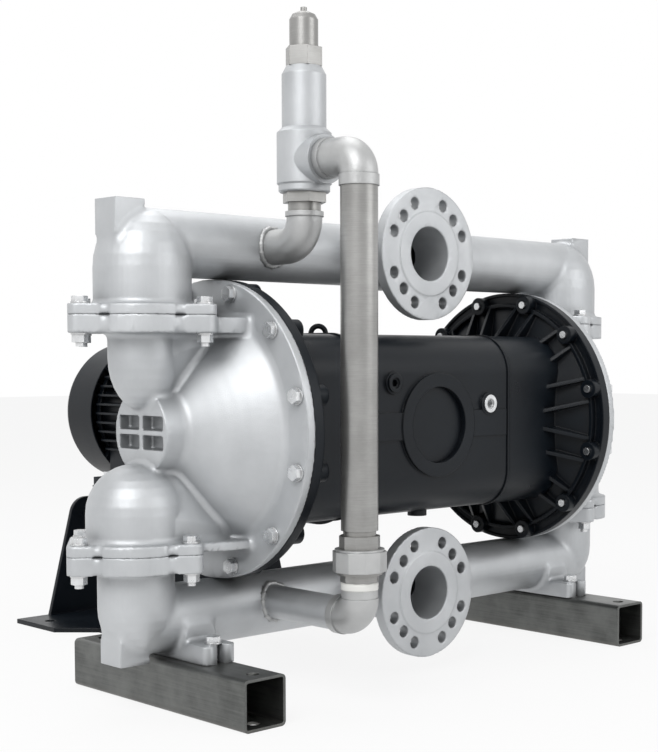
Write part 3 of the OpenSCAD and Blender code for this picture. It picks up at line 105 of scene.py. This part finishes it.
def mixColours(tree, mask, a, b):
    mix = tree.nodes.new("ShaderNodeMix")
    mix.data_type = "RGBA"
    for socket, value in ((mix.inputs[0], mask), (mix.inputs[6], a), (mix.inputs[7], b)):
        if isinstance(value, bpy.types.NodeSocket):
            tree.links.new(value, socket)
        else:
            socket.default_value = value
    return mix.outputs[2]


def ramp(tree, source, low, high, lowValue=0.0, highValue=1.0):
    node = tree.nodes.new("ShaderNodeMapRange")
    for index, value in ((1, low), (2, high), (3, lowValue), (4, highValue)):
        node.inputs[index].default_value = value
    tree.links.new(source, node.inputs[0])
    return node.outputs[0]


# Blotchy grain of a cast or painted skin: a slow drift of tone and a fine grit
def castSkinGroup():
    group, inp, out = newGroup(
        "castSkin",
        [("Grit", "NodeSocketFloat", 900.0), ("Cloud", "NodeSocketFloat", 14.0)],
        [("Tone", "NodeSocketFloat"), ("Grit", "NodeSocketFloat")],
    )
    place = addNode(group, "ShaderNodeTexCoord")
    fine = addNode(group, "ShaderNodeTexNoise", Detail=2.0, Roughness=0.6)
    slow = addNode(group, "ShaderNodeTexNoise", Detail=4.0, Roughness=0.55)
    for noise, socket in ((fine, "Grit"), (slow, "Cloud")):
        group.links.new(place.outputs["Object"], noise.inputs["Vector"])
        group.links.new(inp.outputs[socket], noise.inputs["Scale"])
    group.links.new(slow.outputs[0], out.inputs["Tone"])
    group.links.new(fine.outputs[0], out.inputs["Grit"])
    return group


# Fine scratches drawn out along one direction; Stretch squeezes the pattern across it
def brushedSkinGroup():
    group, inp, out = newGroup(
        "brushedSkin",
        [("Stretch", "NodeSocketVector", (600.0, 8.0, 600.0)), ("Cloud", "NodeSocketFloat", 9.0)],
        [("Scratch", "NodeSocketFloat"), ("Cloud", "NodeSocketFloat")],
    )
    place = addNode(group, "ShaderNodeTexCoord")
    stretch = addNode(group, "ShaderNodeVectorMath", operation="MULTIPLY")
    group.links.new(place.outputs["Object"], stretch.inputs[0])
    group.links.new(inp.outputs["Stretch"], stretch.inputs[1])
    scratch = addNode(group, "ShaderNodeTexNoise", Scale=1.0, Detail=3.0, Roughness=0.7)
    group.links.new(stretch.outputs[0], scratch.inputs["Vector"])
    cloud = addNode(group, "ShaderNodeTexNoise", Detail=5.0, Roughness=0.6)
    group.links.new(place.outputs["Object"], cloud.inputs["Vector"])
    group.links.new(inp.outputs["Cloud"], cloud.inputs["Scale"])
    group.links.new(scratch.outputs[0], out.inputs["Scratch"])
    group.links.new(cloud.outputs[0], out.inputs["Cloud"])
    return group


# Painted shade: a mask of the corners that the occlusion finds, where shade falls
def occlusionShadeGroup():
    group, inp, out = newGroup(
        "occlusionShade", [("Reach", "NodeSocketFloat", 0.02)], [("Occluded", "NodeSocketFloat")])
    shade = addNode(group, "ShaderNodeAmbientOcclusion", samples=8)
    group.links.new(inp.outputs["Reach"], shade.inputs["Distance"])
    group.links.new(ramp(group, shade.outputs["AO"], 0.35, 0.95, 1.0, 0.0), out.inputs["Occluded"])
    return group


castSkin = castSkinGroup()
brushedSkin = brushedSkinGroup()
occlusionShade = occlusionShadeGroup()


def useGroup(tree, group, **values):
    node = tree.nodes.new("ShaderNodeGroup")
    node.node_tree = group
    for key, value in values.items():
        node.inputs[key].default_value = value
    return node


def startMaterial(name, metallic, roughness, **extra):
    material = bpy.data.materials.new(name)
    material.use_nodes = True
    tree = material.node_tree
    shader = tree.nodes["Principled BSDF"]
    shader.inputs["Metallic"].default_value = metallic
    shader.inputs["Roughness"].default_value = roughness
    for key, value in extra.items():
        shader.inputs[key.replace("_", " ")].default_value = value
    return material, tree, shader


# Bump laid over softly rounded edges
def finishNormal(tree, shader, height, depth, edge):
    bump = addNode(tree, "ShaderNodeBump", Strength=1.0, Distance=depth)
    tree.links.new(height, bump.inputs["Height"])
    if edge:
        soft = addNode(tree, "ShaderNodeBevel", samples=4, Radius=edge)
        tree.links.new(soft.outputs[0], bump.inputs["Normal"])
    tree.links.new(bump.outputs[0], shader.inputs["Normal"])


# Painted shade: colour mixed towards a darker corner colour where the occlusion finds corners; on the rubber
# that colour is a little paler
def layCornerShade(tree, base, s):
    cornerShade = useGroup(tree, occlusionShade, Reach=s["cornerShadeReach"])
    mask = addNode(tree, "ShaderNodeMath", operation="MULTIPLY")
    mask.inputs[1].default_value = s["cornerShade"]
    tree.links.new(cornerShade.outputs["Occluded"], mask.inputs[0])
    return mixColours(tree, mask.outputs[0], base, s["cornerShadeColour"])


# Roughness that drifts with a pattern, by roughSpread each way
def spreadRoughness(tree, shader, pattern, low, high, s):
    rough = ramp(tree, pattern, low, high, s["rough"] - s["roughSpread"], s["rough"] + s["roughSpread"])
    tree.links.new(rough, shader.inputs["Roughness"])


def castMetal(name, s):
    material, tree, shader = startMaterial(name, s["metallic"], s["rough"], **s.get("extra", {}))
    skin = useGroup(tree, castSkin, Grit=s["grit"], Cloud=s["cloud"])
    base = mixColours(tree, ramp(tree, skin.outputs["Tone"], 0.3, 0.7), s["dark"], s["light"])
    tree.links.new(layCornerShade(tree, base, s), shader.inputs["Base Color"])
    spreadRoughness(tree, shader, skin.outputs["Tone"], 0.3, 0.7, s)
    finishNormal(tree, shader, skin.outputs["Grit"], s["depth"], s["edge"])
    return material


def brushedMetal(name, s):
    material, tree, shader = startMaterial(name, s["metallic"], s["rough"])
    skin = useGroup(tree, brushedSkin, Stretch=s["stretch"], Cloud=s["cloud"])
    base = mixColours(tree, ramp(tree, skin.outputs["Cloud"], 0.35, 0.65), s["dark"], s["light"])
    lines = ramp(tree, skin.outputs["Scratch"], 0.3, 0.7, 0.0, s["lines"])
    lined = mixColours(tree, lines, base, s["lineColour"])
    tree.links.new(layCornerShade(tree, lined, s), shader.inputs["Base Color"])
    spreadRoughness(tree, shader, skin.outputs["Scratch"], 0.25, 0.75, s)
    finishNormal(tree, shader, skin.outputs["Scratch"], s["depth"], s["edge"])
    return material


# One settings dictionary for each finish; colours are linear
# Each also sets the painted shade laid in corners: its strength, its colour and how far the occlusion reaches
silverCastSettings = {
    "metallic": 0.55, "rough": 0.42, "roughSpread": 0.05, "grit": 1100.0, "cloud": 11.0,
    "dark": (0.46, 0.475, 0.49, 1), "light": (0.57, 0.585, 0.60, 1), "cornerShade": 0.6,
    "cornerShadeColour": (0.13, 0.135, 0.14, 1), "cornerShadeReach": 0.03, "depth": 0.00025, "edge": 0.002,
}
blackPaintSettings = {
    "metallic": 0.0, "rough": 0.34, "roughSpread": 0.07, "grit": 700.0, "cloud": 9.0,
    "dark": (0.003, 0.005, 0.008, 1), "light": (0.007, 0.010, 0.014, 1), "cornerShade": 0.5,
    "cornerShadeColour": (0.003, 0.003, 0.004, 1), "cornerShadeReach": 0.02, "depth": 0.0002, "edge": 0.003,
    "extra": {"Specular_IOR_Level": 0.22},
}
zincSettings = {
    "metallic": 0.95, "rough": 0.28, "roughSpread": 0.06, "grit": 1500.0, "cloud": 60.0,
    "dark": (0.62, 0.63, 0.64, 1), "light": (0.80, 0.81, 0.82, 1), "cornerShade": 0.5,
    "cornerShadeColour": (0.16, 0.15, 0.14, 1), "cornerShadeReach": 0.006, "depth": 0.0001, "edge": 0.001,
}
railSteelSettings = {
    "metallic": 0.9, "rough": 0.38, "roughSpread": 0.1, "stretch": (420.0, 9.0, 420.0), "cloud": 16.0,
    "dark": (0.075, 0.078, 0.076, 1), "light": (0.15, 0.155, 0.15, 1), "lines": 0.4,
    "lineColour": (0.24, 0.245, 0.235, 1), "cornerShade": 0.4, "cornerShadeColour": (0.10, 0.09, 0.08, 1),
    "cornerShadeReach": 0.015, "depth": 0.0001, "edge": 0.002,
}
pipeSteelSettings = {
    "metallic": 0.85, "rough": 0.36, "roughSpread": 0.06, "stretch": (30.0, 30.0, 700.0), "cloud": 12.0,
    "dark": (0.30, 0.298, 0.29, 1), "light": (0.40, 0.398, 0.39, 1), "lines": 0.35,
    "lineColour": (0.24, 0.237, 0.23, 1), "cornerShade": 0.35, "cornerShadeColour": (0.18, 0.17, 0.15, 1),
    "cornerShadeReach": 0.012, "depth": 0.00005, "edge": 0.001,
}
machinedSettings = {
    "metallic": 0.95, "rough": 0.3, "roughSpread": 0.08, "stretch": (500.0, 30.0, 500.0), "cloud": 20.0,
    "dark": (0.45, 0.45, 0.45, 1), "light": (0.58, 0.58, 0.58, 1), "lines": 0.3,
    "lineColour": (0.68, 0.68, 0.68, 1), "cornerShade": 0.3, "cornerShadeColour": (0.12, 0.11, 0.10, 1),
    "cornerShadeReach": 0.01, "depth": 0.00005, "edge": 0.001,
}
rubberSettings = {
    "metallic": 0.0, "rough": 0.65, "roughSpread": 0.08, "grit": 800.0, "cloud": 20.0,
    "dark": (0.012, 0.012, 0.012, 1), "light": (0.022, 0.022, 0.022, 1), "cornerShade": 0.2,
    "cornerShadeColour": (0.05, 0.05, 0.048, 1), "cornerShadeReach": 0.01, "depth": 0.0003, "edge": 0.001,
}
ballSettings = {
    "metallic": 0.0, "rough": 0.4, "roughSpread": 0.05, "grit": 600.0, "cloud": 15.0,
    "dark": (0.78, 0.78, 0.75, 1), "light": (0.86, 0.86, 0.83, 1), "cornerShade": 0.1,
    "cornerShadeColour": (0.5, 0.5, 0.47, 1), "cornerShadeReach": 0.01, "depth": 0.00005, "edge": 0.0,
}
castElbowSettings = dict(
    silverCastSettings, rough=0.36, grit=800.0, cloud=18.0, depth=0.0004,
    dark=(0.41, 0.415, 0.415, 1), light=(0.52, 0.525, 0.525, 1))
bronzeSettings = dict(zincSettings, dark=(0.42, 0.27, 0.10, 1), light=(0.55, 0.37, 0.16, 1))
fanPlasticSettings = dict(rubberSettings, rough=0.45)

finishes = {
    "silver_casting": castMetal("silverCast", silverCastSettings),
    "black_paint": castMetal("blackPaint", blackPaintSettings),
    "stainless": brushedMetal("pipeSteel", pipeSteelSettings),
    "machined_steel": brushedMetal("machinedSteel", machinedSettings),
    "zinc": castMetal("brightZinc", zincSettings),
    "rubber": castMetal("rubberSheet", rubberSettings),
    "ball_ptfe": castMetal("ballPlastic", ballSettings),
    "bush_bronze": castMetal("bushBronze", bronzeSettings),
    "fan_plastic": castMetal("fanPlastic", fanPlasticSettings),
}
railSteel = brushedMetal("railSteel", railSteelSettings)
castElbow = castMetal("castElbow", castElbowSettings)


def dressNode(name, material):
    mesh = nodes[name].data
    mesh.materials.clear()
    mesh.materials.append(material)
    for polygon in mesh.polygons:
        polygon.material_index = 0


for part in frame["record"]["subparts"]:
    dressNode(part["node"], finishes[part["material_slot"]])
for name in ("left_rail", "right_rail"):
    dressNode(name, railSteel)
for name in ("relief_elbow", "outlet_elbow", "return_elbow", "union_nut"):
    dressNode(name, castElbow)
print("finishes on all nodes")

# The four castings get a skin with soft fillets; the box "crisp", round a pocket or a flange
# face, gets none. Each skin is thinned to at most "limit" triangles.
castings = {
    "leftCoverCasting": {"node": "left_outer_cover", "voxel": 0.0024, "reach": 0.007, "rounds": 30,
                         "limit": 190000, "crisp": ((-0.46, -0.055, 0.357), (-0.43, 0.055, 0.411))},
    "rightCoverCasting": {"node": "right_outer_cover", "voxel": 0.0024, "reach": 0.007, "rounds": 30,
                          "limit": 190000, "crisp": ((0.43, -0.055, 0.357), (0.46, 0.055, 0.411))},
    "dischargeCasting": {"node": "discharge_manifold", "voxel": 0.002, "reach": 0.007, "rounds": 36,
                         "limit": 190000, "crisp": ((-0.07, -0.115, 0.57), (0.07, -0.108, 0.72))},
    "suctionCasting": {"node": "suction_manifold", "voxel": 0.002, "reach": 0.007, "rounds": 36,
                       "limit": 190000, "crisp": ((-0.07, -0.115, 0.05), (0.07, -0.108, 0.20))},
}


def newPiece(name, bm, material, body="pump"):
    mesh = bpy.data.meshes.new(name)
    bm.to_mesh(mesh)
    bm.free()
    mesh.materials.append(material)
    piece = bpy.data.objects.new(name, mesh)
    bpy.context.scene.collection.objects.link(piece)
    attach(piece, body)
    return piece


def takeModifiers(piece):
    bpy.context.view_layer.update()
    graph = bpy.context.evaluated_depsgraph_get()
    done = bpy.data.meshes.new_from_object(piece.evaluated_get(graph))
    piece.modifiers.clear()
    piece.data = done


# Points along the sharp concave creases of a solid, apart from those in the box that stays crisp
def creaseTree(bm, crispBox, sharp=0.45, step=0.002):
    points = []
    for edge in bm.edges:
        if edge.is_manifold and edge.calc_face_angle_signed() < -sharp:
            a, b = (v.co for v in edge.verts)
            count = max(1, int(edge.calc_length() / step))
            points += [a.lerp(b, i / count) for i in range(count + 1)]
    low, high = crispBox
    points = [p for p in points if not all(low[i] < p[i] < high[i] for i in range(3))]
    tree = KDTree(len(points))
    for index, point in enumerate(points):
        tree.insert(point, index)
    tree.balance()
    return tree


# The skin near a crease relaxes into a fillet; the indices of the rest are returned
def fillCreases(bm, tree, reach, rounds):
    near = [v for v in bm.verts if tree.find(v.co)[2] < reach]
    for turn in range(rounds):
        bmesh.ops.smooth_vert(bm, verts=near, factor=0.5,
                              use_axis_x=True, use_axis_y=True, use_axis_z=True)
    chosen = set(near)
    return [v.index for v in bm.verts if v not in chosen]


def makeCasting(name, s):
    bm = bmesh.new()
    bm.from_mesh(nodes[s["node"]].data)
    bmesh.ops.remove_doubles(bm, verts=bm.verts, dist=0.000002)
    tree = creaseTree(bm, s["crisp"])
    piece = newPiece(name, bm, finishes["silver_casting"])
    skin = piece.modifiers.new("skin", "REMESH")
    skin.mode = "VOXEL"
    skin.voxel_size = s["voxel"]
    takeModifiers(piece)
    bm = bmesh.new()
    bm.from_mesh(piece.data)
    bm.verts.index_update()
    crisp = fillCreases(bm, tree, s["reach"], s["rounds"])
    bm.to_mesh(piece.data)
    bm.free()
    group = piece.vertex_groups.new(name="crisp")
    group.add(crisp, 1.0, "REPLACE")
    snap = piece.modifiers.new("snap", "SHRINKWRAP")
    snap.target = nodes[s["node"]]
    snap.vertex_group = "crisp"
    triangles = 2 * len(piece.data.polygons)
    if triangles > s["limit"]:
        thin = piece.modifiers.new("thin", "DECIMATE")
        thin.ratio = s["limit"] / triangles
    takeModifiers(piece)
    piece.vertex_groups.clear()
    for polygon in piece.data.polygons:
        polygon.use_smooth = True
    even = piece.modifiers.new("even", "WEIGHTED_NORMAL")
    even.keep_sharp = False
    piece.data.materials.clear()
    piece.data.materials.append(finishes["silver_casting"])
    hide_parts(s["node"])
    print(name, len(piece.data.polygons), "faces")


for name, s in castings.items():
    makeCasting(name, s)

# Weld beads where the bypass meets the manifolds: centre (x, z) and radius of the stub that
# enters the pipe, the pipe's height and radius, and the bead's own radius
welds = {
    "returnWeld": {"centre": (-0.25, 0.1325), "stub": 0.0252, "pipeZ": 0.125, "pipe": 0.0465, "bead": 0.0044},
    "reliefWeld": {"centre": (-0.25, 0.643), "stub": 0.0258, "pipeZ": 0.643, "pipe": 0.0465, "bead": 0.0044},
}


def makeWeld(name, s):
    steps = 72  # rings round the bead
    bm = bmesh.new()
    rings = []
    spots = []
    for i in range(steps):
        turn = 2 * math.pi * i / steps
        x = s["centre"][0] + s["stub"] * math.cos(turn)
        z = s["centre"][1] + s["stub"] * math.sin(turn)
        spots.append(Vector((x, -math.sqrt(s["pipe"] ** 2 - (z - s["pipeZ"]) ** 2), z)))
    for i, spot in enumerate(spots):
        along = spots[(i + 1) % steps] - spots[i - 1]
        size = s["bead"] * (1 + 0.22 * math.sin(i * 2.6) + 0.12 * math.sin(i * 1.3))
        place = Matrix.Translation(spot) @ along.to_track_quat("Z", "Y").to_matrix().to_4x4()
        made = bmesh.ops.create_circle(bm, cap_ends=False, segments=8, radius=size, matrix=place)
        rings.append(list({e for v in made["verts"] for e in v.link_edges}))
    for i in range(steps):
        bmesh.ops.bridge_loops(bm, edges=rings[i] + rings[(i + 1) % steps])
    bmesh.ops.recalc_face_normals(bm, faces=bm.faces)
    for face in bm.faces:
        face.smooth = True
    newPiece(name, bm, castElbow)


for name, s in welds.items():
    makeWeld(name, s)

# Sealing tape on the union's lower thread; each turn has its rise above the low end and how
# far it stands out
tapeSettings = {
    "place": (-0.25, -0.221),
    "radius": 0.0252,
    "low": 0.1708,
    "turns": ((0.0, 0.0), (0.002, 0.0006), (0.0045, 0.0002), (0.007, 0.0007), (0.011, 0.0)),
    "thick": 0.0008,
}


def makeTape(s):
    bm = bmesh.new()
    profile = []
    x, y = s["place"]
    for rise, grow in s["turns"]:
        profile.append(bm.verts.new((x + s["radius"] + grow, y, s["low"] + rise)))
    edges = [bm.edges.new(pair) for pair in zip(profile, profile[1:])]
    bmesh.ops.spin(bm, geom=profile + edges, cent=(x, y, 0), axis=(0, 0, 1),
                   angle=2 * math.pi, steps=64, use_merge=True)
    bmesh.ops.recalc_face_normals(bm, faces=bm.faces)
    bmesh.ops.solidify(bm, geom=bm.faces, thickness=s["thick"])
    for face in bm.faces:
        face.smooth = True
    newPiece("sealingTape", bm, finishes["ball_ptfe"])


makeTape(tapeSettings)
print("welds and tape made")

# Filter pad against the grille inside the fan cowl
filterPadSettings = {"wall": 0.0026, "thick": 0.003, "rim": 0.0146, "softEdge": 0.0008}


def makeFilterPad(s):
    low, high = (Vector(corner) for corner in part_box("fan_cowl"))
    centre = (low + high) / 2
    radius = (high.z - low.z) / 2 - s["rim"]
    turn = Matrix.Rotation(math.pi / 2, 4, "X")
    place = Matrix.Translation((centre.x, high.y - s["wall"], centre.z)) @ turn
    bm = bmesh.new()
    bmesh.ops.create_circle(bm, cap_ends=True, segments=72, radius=radius, matrix=place)
    grown = bmesh.ops.extrude_face_region(bm, geom=bm.faces[:])
    moved = [v for v in grown["geom"] if isinstance(v, bmesh.types.BMVert)]
    bmesh.ops.translate(bm, verts=moved, vec=(0, -s["thick"], 0))
    bmesh.ops.recalc_face_normals(bm, faces=bm.faces)
    rims = [e for e in bm.edges if e.calc_face_angle(0) > 1]
    bmesh.ops.bevel(bm, geom=rims, offset=s["softEdge"], segments=2, profile=0.5,
                    affect="EDGES", material=-1)
    newPiece("filterPad", bm, finishes["rubber"])


makeFilterPad(filterPadSettings)
print("filter pad made")

# Pale floor, soft lamps and a white background
stageSettings = {
    "size": 14.0,
    "floorTone": (0.86, 0.86, 0.86, 1),
    "glow": 0.88,
    "worldStrength": 0.42,
    "aim": (0, 0, 0.4),
}
lamps = {
    "keyLamp": {"place": (-2.6, -1.2, 2.6), "size": (1.8, 1.8), "power": 62},
    "fillLamp": {"place": (1.2, -3.0, 1.6), "size": (2.0, 1.6), "power": 22},
    "topLamp": {"place": (0.2, 0.8, 3.2), "size": (2.2, 2.2), "power": 36},
}


def makeFloor(s):
    bm = bmesh.new()
    bmesh.ops.create_grid(bm, x_segments=1, y_segments=1, size=s["size"])
    mesh = bpy.data.meshes.new("studioFloor")
    bm.to_mesh(mesh)
    bm.free()
    floor = bpy.data.objects.new("studioFloor", mesh)
    bpy.context.scene.collection.objects.link(floor)
    material = bpy.data.materials.new("floorPaper")
    material.use_nodes = True
    tree = material.node_tree
    tree.nodes.clear()
    out = tree.nodes.new("ShaderNodeOutputMaterial")
    paper = addNode(tree, "ShaderNodeBsdfDiffuse", Color=s["floorTone"])
    glow = addNode(tree, "ShaderNodeEmission", Strength=1.0)
    path = tree.nodes.new("ShaderNodeLightPath")
    seen = addNode(tree, "ShaderNodeMath", operation="MAXIMUM")
    tree.links.new(path.outputs["Is Camera Ray"], seen.inputs[0])
    tree.links.new(path.outputs["Is Glossy Ray"], seen.inputs[1])
    part = addNode(tree, "ShaderNodeMath", operation="MULTIPLY")
    part.inputs[1].default_value = s["glow"]
    tree.links.new(seen.outputs[0], part.inputs[0])
    mix = tree.nodes.new("ShaderNodeMixShader")
    tree.links.new(part.outputs[0], mix.inputs[0])
    tree.links.new(paper.outputs[0], mix.inputs[1])
    tree.links.new(glow.outputs[0], mix.inputs[2])
    tree.links.new(mix.outputs[0], out.inputs[0])
    mesh.materials.append(material)


def makeWorld(strength):
    world = bpy.data.worlds.new("studioWorld")
    world.use_nodes = True
    bpy.context.scene.world = world
    tree = world.node_tree
    tree.nodes.clear()
    out = tree.nodes.new("ShaderNodeOutputWorld")
    soft = addNode(tree, "ShaderNodeBackground", Color=(1, 1, 1, 1), Strength=strength)
    white = addNode(tree, "ShaderNodeBackground", Color=(1, 1, 1, 1), Strength=1.0)
    path = tree.nodes.new("ShaderNodeLightPath")
    seen = addNode(tree, "ShaderNodeMath", operation="MAXIMUM")
    through = addNode(tree, "ShaderNodeMath", operation="MAXIMUM")
    tree.links.new(path.outputs["Is Camera Ray"], seen.inputs[0])
    tree.links.new(path.outputs["Is Glossy Ray"], seen.inputs[1])
    tree.links.new(seen.outputs[0], through.inputs[0])
    tree.links.new(path.outputs["Is Transmission Ray"], through.inputs[1])
    mix = tree.nodes.new("ShaderNodeMixShader")
    tree.links.new(through.outputs[0], mix.inputs[0])
    tree.links.new(soft.outputs[0], mix.inputs[1])
    tree.links.new(white.outputs[0], mix.inputs[2])
    tree.links.new(mix.outputs[0], out.inputs[0])


def makeLamp(name, s, aim):
    data = bpy.data.lights.new(name, "AREA")
    data.shape = "RECTANGLE"
    data.size, data.size_y = s["size"]
    data.energy = s["power"]
    lamp = bpy.data.objects.new(name, data)
    bpy.context.scene.collection.objects.link(lamp)
    lamp.location = s["place"]
    lamp.rotation_mode = "QUATERNION"
    lamp.rotation_quaternion = (Vector(aim) - lamp.location).to_track_quat("-Z", "Y")


makeFloor(stageSettings)
makeWorld(stageSettings["worldStrength"])
for name, s in lamps.items():
    makeLamp(name, s, stageSettings["aim"])
print("floor and lamps set")
